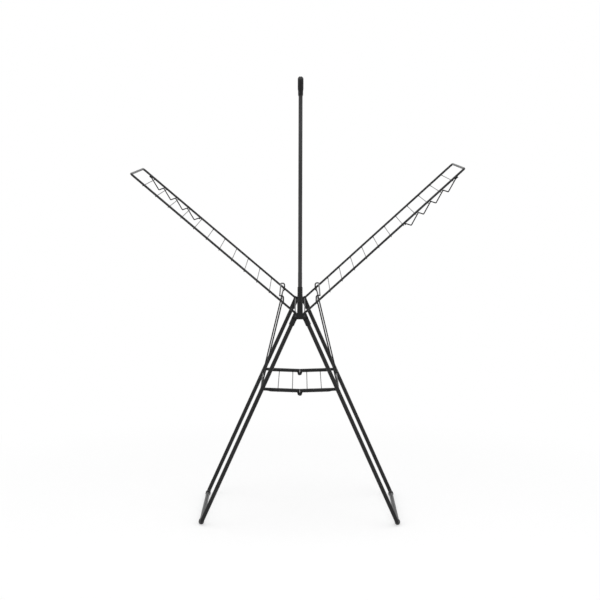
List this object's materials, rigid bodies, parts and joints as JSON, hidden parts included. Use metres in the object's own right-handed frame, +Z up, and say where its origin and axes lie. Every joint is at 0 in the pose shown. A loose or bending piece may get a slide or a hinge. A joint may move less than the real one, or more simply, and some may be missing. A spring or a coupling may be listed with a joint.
{
  "type": "winged clothes drying rack",
  "caption": "Free-standing folding clothes airer: A-frame legs, two raised wings of cross wires on wire stays, folding middle shelf and an upright hanging rod.",
  "frame": {"origin": "on the floor, under the middle of the rack", "axes": "+X to the right wing, +Y to the rear, +Z up"},
  "size_m": [1.4068, 0.5992, 1.9118],
  "materials": {
    "black_steel": "matt black powder coat",
    "black_plastic": "fine matt black plastic",
    "pin_steel": "blackened steel pins"
  },
  "bodies": {
    "hub": {"hub_front": "black_plastic", "hub_rear": "black_plastic", "leg_pivot_pins": "pin_steel", "rod_socket_front": "black_steel", "rod_socket_rear": "black_steel"},
    "rod": {"rod_upright_front": "black_steel", "rod_upright_rear": "black_steel", "rod_elbow_front": "black_plastic", "rod_elbow_rear": "black_plastic", "rod_top_bar": "black_steel"},
    "shelf_middle": {"shelf_pins": "pin_steel"},
    "left_leg": {"leg_frame_left": "black_steel", "leg_axle_left": "black_steel", "wing_hinge_rod_left": "black_steel", "leg_cap_left_front": "black_plastic", "leg_cap_left_rear": "black_plastic", "foot_left_front": "black_plastic", "foot_left_rear": "black_plastic"},
    "left_wing": {"wing_frame_left": "black_steel", "wing_end_plugs_left": "black_plastic", "wing_wires_left": "black_steel", "hanger_wire_left": "black_steel"},
    "left_stay": {"wing_stay_left": "black_steel"},
    "left_shelf": {"shelf_bar_left_front": "black_steel", "shelf_bar_left_rear": "black_steel", "shelf_hook_left_front": "black_plastic", "shelf_hook_left_rear": "black_plastic", "shelf_lobe_left_front": "black_plastic", "shelf_lobe_left_rear": "black_plastic", "shelf_wires_left": "black_steel"},
    "right_leg": {"leg_frame_right": "black_steel", "leg_axle_right": "black_steel", "wing_hinge_rod_right": "black_steel", "leg_cap_right_front": "black_plastic", "leg_cap_right_rear": "black_plastic", "foot_right_front": "black_plastic", "foot_right_rear": "black_plastic"},
    "right_wing": {"wing_frame_right": "black_steel", "wing_end_plugs_right": "black_plastic", "wing_wires_right": "black_steel", "hanger_wire_right": "black_steel"},
    "right_stay": {"wing_stay_right": "black_steel"},
    "right_shelf": {"shelf_bar_right_front": "black_steel", "shelf_bar_right_rear": "black_steel", "shelf_hook_right_front": "black_plastic", "shelf_hook_right_rear": "black_plastic", "shelf_lobe_right_front": "black_plastic", "shelf_lobe_right_rear": "black_plastic", "shelf_wires_right": "black_steel"}
  },
  "joints": [
    {"name": "left_leg_fold", "type": "hinge", "parent": "hub", "child": "left_leg", "pos_m": [-0.0185, 0, 0.91], "axis": [0, -1, 0], "range_deg": [0, 23.5]},
    {"name": "left_wing_lower", "type": "hinge", "parent": "left_leg", "child": "left_wing", "pos_m": [-0.02069, 0, 0.91976], "axis": [0, -1, 0], "range_deg": [0, 91.6]},
    {"name": "left_stay_swing", "type": "hinge", "parent": "left_leg", "child": "left_stay", "pos_m": [-0.16751, 0, 0.57844], "axis": [0, 1, 0], "range_deg": [0, 8.58]},
    {"name": "right_leg_fold", "type": "hinge", "parent": "hub", "child": "right_leg", "pos_m": [0.0185, 0, 0.91], "axis": [0, 1, 0], "range_deg": [0, 23.5]},
    {"name": "right_wing_lower", "type": "hinge", "parent": "right_leg", "child": "right_wing", "pos_m": [0.02069, 0, 0.91976], "axis": [0, 1, 0], "range_deg": [0, 93.8]},
    {"name": "right_stay_swing", "type": "hinge", "parent": "right_leg", "child": "right_stay", "pos_m": [0.16751, 0, 0.57844], "axis": [0, -1, 0], "range_deg": [0, 8.43]},
    {"name": "shelf_rise", "type": "slide", "parent": "hub", "child": "shelf_middle", "axis": [0, 0, 1], "range_m": [0, 0.14347]},
    {"name": "left_shelf_fold", "type": "hinge", "parent": "shelf_middle", "child": "left_shelf", "pos_m": [0, 0, 0.56929], "axis": [0, -1, 0], "range_deg": [0, 85.27]},
    {"name": "right_shelf_fold", "type": "hinge", "parent": "shelf_middle", "child": "right_shelf", "pos_m": [0, 0, 0.56929], "axis": [0, 1, 0], "range_deg": [0, 85.27]},
    {"name": "rod_lift", "type": "slide", "parent": "hub", "child": "rod", "axis": [0, 0, 1], "range_m": [0, 0.09]}
  ],
  "couplings": [
    {"joint": "left_stay_swing", "follows": "left_wing_lower", "ratio": 0.093687},
    {"joint": "right_stay_swing", "follows": "right_wing_lower", "ratio": 0.089852},
    {"joint": "left_shelf_fold", "follows": "left_leg_fold", "ratio": 3.6284},
    {"joint": "right_shelf_fold", "follows": "left_leg_fold", "ratio": 3.6284},
    {"joint": "shelf_rise", "follows": "left_leg_fold", "m_per_rad": 0.34966},
    {"joint": "right_leg_fold", "follows": "left_leg_fold", "ratio": 1}
  ]
}
